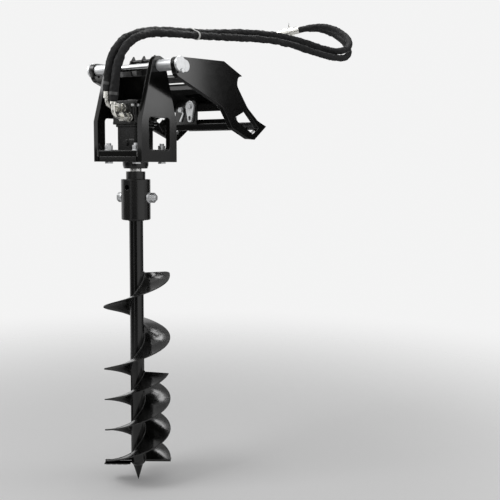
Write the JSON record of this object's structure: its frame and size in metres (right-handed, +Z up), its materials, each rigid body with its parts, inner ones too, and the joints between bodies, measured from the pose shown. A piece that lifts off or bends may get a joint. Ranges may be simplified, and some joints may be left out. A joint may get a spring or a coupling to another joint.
{
  "type": "auger drive attachment",
  "caption": "Hydraulic earth auger attachment: a hook-on hitch carries a swinging cradle with a geared hydraulic drive, a screw auger with a pilot point, and a pair of sleeved hoses.",
  "frame": {"origin": "centre of the hitch back plate's rear face, where the carrier's coupler plate lies", "axes": "+X along the pivot pin, +Y towards the carrier, +Z up, along the auger's axis"},
  "size_m": [0.4828, 1.3204, 1.7272],
  "materials": {
    "frame_paint": "gloss black enamel over welded plate",
    "drive_paint": "gloss black enamel over castings",
    "zinc": "bright zinc plate",
    "chrome": "hard chrome",
    "bronze": "plain bronze",
    "ground_steel": "ground, oiled",
    "shaft_steel": "turned, oiled",
    "seal_rubber": "matte",
    "plated_fitting": "zinc plate with a faint yellow cast",
    "hose_sleeve": "woven nylon sleeve over rubber hose",
    "tie_plastic": "smooth light grey",
    "clamp_band": "dull steel band",
    "auger_paint": "semi-gloss black paint",
    "tooth_steel": "dark hardened steel"
  },
  "bodies": {
    "hitch": {"hitch_side_plate_left": "frame_paint", "hitch_side_plate_right": "frame_paint", "hitch_back_plate": "frame_paint", "hitch_stiffener": "frame_paint", "hitch_hook_bar": "frame_paint", "hitch_lip_bar": "frame_paint", "hitch_beam": "frame_paint", "pivot_pin": "chrome", "pin_spacers": "zinc", "pin_caps": "zinc", "keeper_screws": "zinc", "latch_bracket": "frame_paint", "latch_bolts": "zinc", "supply_hose": "hose_sleeve", "return_hose": "hose_sleeve", "hose_tie": "tie_plastic", "coupling_plug": "plated_fitting", "coupling_socket": "plated_fitting"},
    "cradle": {"cradle_side_plate_left": "frame_paint", "cradle_side_plate_right": "frame_paint", "pin_bushes": "bronze", "cradle_rear_plate": "frame_paint", "cradle_floor": "frame_paint", "hose_guide": "frame_paint", "drive_bolts": "zinc", "drive_nuts": "zinc", "gearbox_housing": "drive_paint", "drive_flange": "drive_paint", "drive_plugs": "drive_paint", "ring_gear": "ground_steel", "drive_bearings": "ground_steel", "output_seal": "seal_rubber", "motor_block": "drive_paint", "motor_cap": "drive_paint", "motor_screws": "zinc", "motor_ring": "ground_steel", "port_adapters": "plated_fitting", "hose_elbows": "plated_fitting", "sleeve_clamps": "clamp_band"},
    "auger": {"output_shaft": "shaft_steel", "planet_pins": "ground_steel", "auger_hub": "drive_paint", "hub_bolt": "zinc", "auger_tube": "auger_paint", "flight_upper": "auger_paint", "flight_middle": "auger_paint", "flight_lower": "auger_paint", "flight_second": "auger_paint", "blade_bars": "auger_paint", "cutting_teeth": "tooth_steel", "pilot_bit": "auger_paint"},
    "rotor": {"motor_rotor": "ground_steel", "drive_shaft": "ground_steel", "sun_gear": "ground_steel"},
    "planet_1": {"planet_gear_1": "ground_steel"},
    "planet_2": {"planet_gear_2": "ground_steel"},
    "planet_3": {"planet_gear_3": "ground_steel"},
    "lever": {"latch_lever": "zinc"},
    "clip": {"latch_clip": "zinc"},
    "sleeve": {"coupling_sleeve": "plated_fitting"}
  },
  "joints": [
    {"name": "cradle_swing", "type": "hinge", "parent": "hitch", "child": "cradle", "pos_m": [0, -0.351, 0.0805], "axis": [1, 0, 0], "range_deg": [-35, 35], "deforming": ["supply_hose", "return_hose"]},
    {"name": "output_spin", "type": "hinge", "parent": "cradle", "child": "auger", "pos_m": [0, -0.351, -0.2915], "axis": [0, 0, 1], "continuous": true},
    {"name": "rotor_spin", "type": "hinge", "parent": "cradle", "child": "rotor", "pos_m": [0, -0.351, -0.1625], "axis": [0, 0, 1], "continuous": true},
    {"name": "planet_1_spin", "type": "hinge", "parent": "auger", "child": "planet_1", "pos_m": [0.024, -0.351, -0.1625], "axis": [0, 0, 1], "continuous": true},
    {"name": "planet_2_spin", "type": "hinge", "parent": "auger", "child": "planet_2", "pos_m": [-0.012, -0.33021, -0.1625], "axis": [0, 0, 1], "continuous": true},
    {"name": "planet_3_spin", "type": "hinge", "parent": "auger", "child": "planet_3", "pos_m": [-0.012, -0.37178, -0.1625], "axis": [0, 0, 1], "continuous": true},
    {"name": "latch_lever_turn", "type": "hinge", "parent": "hitch", "child": "lever", "pos_m": [-0.01, -0.04117, -0.0295], "axis": [0, 1, 0], "range_deg": [-75, 10]},
    {"name": "latch_clip_turn", "type": "hinge", "parent": "hitch", "child": "clip", "pos_m": [-0.055, -0.04117, -0.0415], "axis": [0, 1, 0], "range_deg": [-5, 60]},
    {"name": "coupling_sleeve_slide", "type": "slide", "parent": "hitch", "child": "sleeve", "axis": [0.8891, 0.4001, 0.2223], "range_m": [0, 0.006], "stiffness_N_per_m": 900}
  ],
  "couplings": [
    {"joint": "rotor_spin", "follows": "output_spin", "ratio": 4},
    {"joint": "planet_1_spin", "follows": "output_spin", "ratio": -3},
    {"joint": "planet_2_spin", "follows": "output_spin", "ratio": -3},
    {"joint": "planet_3_spin", "follows": "output_spin", "ratio": -3}
  ]
}
